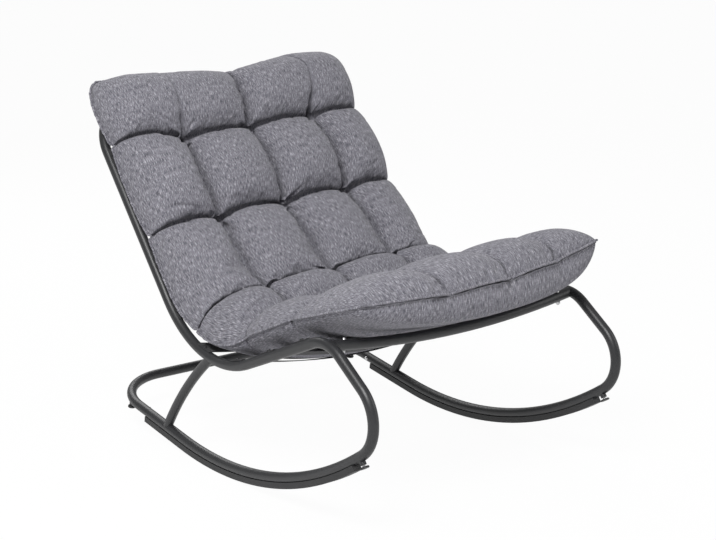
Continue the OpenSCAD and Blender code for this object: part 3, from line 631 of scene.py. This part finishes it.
def fabric_material():
    s = material_shader("heathered_cloth")
    uv = s.add("ShaderNodeUVMap", uv_map="cloth").outputs[0]
    streak = 0.0
    for stretch, share in CLOTH_STREAKS:
        streak = s.line(streak, share, s.noise(s.stretch(uv, stretch), scale=1))
    cloud = s.math("SUBTRACT", s.noise(uv, scale=26, detail=3), 0.5)
    colour = s.ramp(s.line(streak, CLOTH_CLOUD, cloud), CLOTH_TONES)
    threads = [s.wave(uv, direction, THREAD_SCALE, distortion=0.6, detail=1.0) for direction in ("X", "Y")]
    weave = s.math("MAXIMUM", *threads)
    height = s.line(s.math("MULTIPLY", weave, 0.5), 1.2, streak)
    return s.finish_body(Base_Color=colour, Roughness=s.line(0.82, 0.16, streak),
                         Normal=s.bump(height, distance=0.0006, strength=0.8),
                         Sheen_Weight=0.12, Sheen_Roughness=0.5, Specular_IOR_Level=0.25)


def coat_material():
    s = material_shader("powder_coat")
    at = s.object_vector()
    cloud = s.noise(at, scale=9, detail=3)
    peel = s.noise(at, scale=620, rough=0.4)
    return s.finish_body(Base_Color=s.ramp(cloud, COAT_TONES), Roughness=s.line(0.34, 0.12, cloud),
                         Normal=s.bump(peel, distance=0.00012, strength=0.6), Specular_IOR_Level=0.5)


def plastic_material():
    s = material_shader("black_plastic")
    at = s.object_vector()
    grain = s.noise(at, scale=900)
    cloud = s.noise(at, scale=14)
    return s.finish_body(Base_Color=s.ramp(cloud, PLASTIC_TONES), Roughness=s.line(0.48, 0.15, cloud),
                         Normal=s.bump(grain, distance=0.00015, strength=0.5))


def webbing_material():
    s = material_shader("woven_webbing")
    at = s.object_vector()
    cords = s.wave(s.stretch(at, (0, 1, 1)), "DIAGONAL", scale=170.0, distortion=0.2)
    picks = s.wave(at, "X", scale=210.0, distortion=0.4)
    weave = s.math("MULTIPLY", cords, picks)
    fleck = s.noise(at, scale=300)
    tone = s.line(s.math("MULTIPLY", weave, 0.6), 0.4, fleck)
    return s.finish_body(Base_Color=s.ramp(tone, WEBBING_TONES), Roughness=0.85,
                         Normal=s.bump(weave, distance=0.0006, strength=0.8), Sheen_Weight=0.1)


def zinc_material():
    s = material_shader("bright_zinc")
    cloud = s.noise(s.object_vector(), scale=160, detail=3)
    return s.finish_body(Base_Color=s.ramp(cloud, ZINC_TONES), Metallic=1.0,
                         Roughness=s.line(0.24, 0.2, cloud),
                         Normal=s.bump(cloud, distance=0.0001, strength=0.4))


def floor_material():
    s = material_shader("pale_floor")
    lit = s.add("ShaderNodeBsdfDiffuse", {"Color": FLOOR_TONE})
    white = s.add("ShaderNodeEmission", {"Color": WHITE, "Strength": 1.0})
    ray = s.add("ShaderNodeLightPath")
    seen = s.math("MAXIMUM", ray.outputs["Is Camera Ray"], ray.outputs["Is Glossy Ray"])
    share = s.math("MULTIPLY", seen, FLOOR_WHITE)
    mix = s.add("ShaderNodeMixShader", {0: share, 1: lit.outputs[0], 2: white.outputs[0]})
    return s.finish(mix.outputs[0])


MATERIALS = {
    "coated_steel": coat_material(),
    "strip_plastic": plastic_material(),
    "disc_plastic": plastic_material(),
    "webbing": webbing_material(),
    "zinc_steel": zinc_material(),
    "black_steel": coat_material(),
    "pad_fabric": fabric_material(),
}


def dress_frame():
    slots = {part["node"]: part["material_slot"] for part in frame["record"]["subparts"]}
    for node, piece in frame["nodes"].items():
        piece.data.materials.clear()
        piece.data.materials.append(MATERIALS[slots[node]])


def cloth_map(points, count_top):
    """The cloth's own map: even steps across and along, so that the weave runs straight in each panel."""
    across = np.linalg.norm(points - np.roll(points, 1, 1), axis=-1).mean(0)
    across[0] = 0
    along = np.linalg.norm(np.diff(points[:, :count_top], axis=0), axis=-1).mean(1)
    u, v = np.meshgrid(np.cumsum(across), np.concatenate([[0], np.cumsum(along)]))
    return np.stack([u.reshape(-1), v.reshape(-1)], -1)


def pin_weights(stations, rows, columns, count_top, around):
    """How firmly each point is sewn or rests: row lines, tufts, the edge seam and the underside."""
    weight = np.zeros((len(stations), around))
    weight[:, count_top:] = 1
    weight[:, [0, count_top - 1]] = SEAM_HOLD
    weight[[0, -1]] = SEAM_HOLD
    for column, strength in zip(columns, column_strengths(stations)):
        weight[:, column] = np.where(strength > PINNED_FROM, 1, 0)
    for row in rows:
        weight[row, :count_top] = 1
    return weight


def settled_points(piece):
    """Steps through the simulation and reads where the cloth ends up."""
    scene = bpy.context.scene
    for number in range(1, CLOTH_FRAMES + 1):
        scene.frame_set(number)
    settled = piece.evaluated_get(bpy.context.evaluated_depsgraph_get())
    mesh = settled.to_mesh()
    out = np.empty(len(mesh.vertices) * 3)
    mesh.vertices.foreach_get("co", out)
    settled.to_mesh_clear()
    scene.frame_set(1)
    return out


def swell(points, weights, count_top):
    """Cloth under a light pressure, held at its sewn lines; gives the same form on each run."""
    mesh = ring_mesh("pad_cloth", points, count_top)
    piece = new_object("pad_cloth", mesh)
    group = piece.vertex_groups.new(name="sewn")
    held = weights.reshape(-1)
    for value in np.unique(held[held > 0]):
        group.add(np.nonzero(held == value)[0].tolist(), float(value), "REPLACE")
    cloth = piece.modifiers.new("Cloth", "CLOTH")
    for key, value in CLOTH_SETTINGS.items():
        setattr(cloth.settings, key, value)
    cloth.settings.effector_weights.gravity = 0
    cloth.collision_settings.use_collision = False
    cloth.point_cache.frame_start = 1
    cloth.point_cache.frame_end = CLOTH_FRAMES
    move = settled_points(piece).reshape(points.shape) - points
    bpy.data.objects.remove(piece)
    bpy.data.meshes.remove(mesh)
    far = np.linalg.norm(move, axis=-1, keepdims=True)
    return points + move * np.minimum(1, SWELL_LIMIT / np.maximum(far, TINY))


def cord_tube(line):
    """The mesh of a round cord along a closed line of points."""
    ahead = np.roll(line, -1, 0) - np.roll(line, 1, 0)
    ahead /= np.linalg.norm(ahead, axis=1, keepdims=True)
    across = np.cross(ahead[0], CORD_FIRST_ACROSS)
    turn = np.linspace(0, 2 * math.pi, CORD_SIDES, endpoint=False)[:, None]
    rings = []
    for point, forward in zip(line, ahead):
        across = across - forward * across.dot(forward)
        across /= np.linalg.norm(across)
        up = np.cross(forward, across)
        rings.append(point + CORD_RADIUS * (np.cos(turn) * across + np.sin(turn) * up))
    faces = []
    for i in range(len(line)):
        here = i * CORD_SIDES
        there = (i + 1) % len(line) * CORD_SIDES
        for k in range(CORD_SIDES):
            m = (k + 1) % CORD_SIDES
            faces.append((here + k, here + m, there + m, there + k))
    return new_mesh("seam_cord", np.concatenate(rings), faces)


def cord_line(points, count_top):
    """The sewn edge once round the pad, smoothed and moved out a little."""
    last = count_top - 1
    line = np.concatenate([points[:, 0], points[-1, 1:last], points[::-1, last], points[0, last - 1:0:-1]])
    for _ in range(CORD_SMOOTHING):
        line = (np.roll(line, 1, 0) + 2 * line + np.roll(line, -1, 0)) / 4
    out = line - line.mean(0)
    return line + out / np.linalg.norm(out, axis=1, keepdims=True) * CORD_OUT


def cord_map(line):
    """The cord's place on the cloth: its length one way and a narrow wrap the other."""
    length = np.concatenate([[0], np.cumsum(np.linalg.norm(np.diff(line, axis=0), axis=1))])
    turn = np.linspace(0, 1, CORD_SIDES + 1)[:-1] * CORD_WRAP
    return np.stack([np.repeat(length, CORD_SIDES), np.tile(turn, len(line))], -1)


def cloth_piece(name, mesh, places):
    """A smooth piece of pad cloth, with the place of each point on the cloth."""
    layer = mesh.uv_layers.new(name="cloth")
    corner = np.empty(len(mesh.loops), dtype=np.int32)
    mesh.loops.foreach_get("vertex_index", corner)
    layer.data.foreach_set("uv", places[corner].reshape(-1))
    mesh.materials.append(MATERIALS["pad_fabric"])
    for face in mesh.polygons:
        face.use_smooth = True
    return new_object(name, mesh)


def make_pad():
    """Makes the pad and returns its seam's line for the cord."""
    points, flat, rows, columns = pad_grid()
    weights = pin_weights(flat[:, 0, 1], rows, columns, flat.shape[1], points.shape[1])
    points = swell(points, weights, flat.shape[1])
    points = finer(finer(points, 0, False), 1, True)
    flat = finer(finer(flat, 0, False), 1, False)
    count_top = flat.shape[1]
    points = raise_seam(press_folds(points, flat), count_top)
    pad = cloth_piece("tufted_pad", ring_mesh("pad", points, count_top), cloth_map(points, count_top))
    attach(pad, "chair")
    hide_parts("cushion")
    return cord_line(points, count_top)


def make_cord(line):
    cord = cloth_piece("seam_cord", cord_tube(line), cord_map(line))
    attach(cord, "chair")


def add_floor():
    corners = [(x * FLOOR_REACH, y * FLOOR_REACH, 0) for x, y in ((-1, -1), (1, -1), (1, 1), (-1, 1))]
    floor = new_object("floor", new_mesh("floor", corners, [(0, 1, 2, 3)]))
    floor.data.materials.append(floor_material())


def add_sky():
    """Soft light from all round; the camera sees plain white."""
    world = bpy.data.worlds.new("studio")
    bpy.context.scene.world = world
    s = Shader(world, "ShaderNodeOutputWorld")
    soft = s.add("ShaderNodeBackground", {"Color": WHITE, "Strength": SKY_LIGHT})
    white = s.add("ShaderNodeBackground", {"Color": WHITE, "Strength": SKY_SEEN})
    ray = s.add("ShaderNodeLightPath")
    seen = s.math("MAXIMUM", ray.outputs["Is Camera Ray"], ray.outputs["Is Transmission Ray"])
    mix = s.add("ShaderNodeMixShader", {0: seen, 1: soft.outputs[0], 2: white.outputs[0]})
    s.finish(mix.outputs[0])


def add_lamp(name, position, target, size, power):
    data = bpy.data.lights.new(name, "AREA")
    data.shape = "RECTANGLE"
    data.size = size[0]
    data.size_y = size[1]
    data.energy = power
    lamp = new_object(name, data)
    lamp.location = position
    lamp.rotation_euler = (Vector(target) - Vector(position)).to_track_quat("-Z", "Y").to_euler()


def add_camera():
    lens = bpy.data.cameras.new("camera")
    lens.lens = CAMERA_LENS
    lens.sensor_width = SENSOR
    lens.clip_end = CAMERA_REACH
    camera = new_object("camera", lens)
    camera.location = CAMERA_PLACE
    camera.rotation_euler = [math.radians(angle) for angle in CAMERA_TURN]
    bpy.context.scene.camera = camera


bpy.context.scene.view_settings.view_transform = "Standard"
add_floor()
add_sky()
for lamp_values in LAMPS:
    add_lamp(*lamp_values)
add_camera()
dress_frame()
seam_line = make_pad()
make_cord(seam_line)
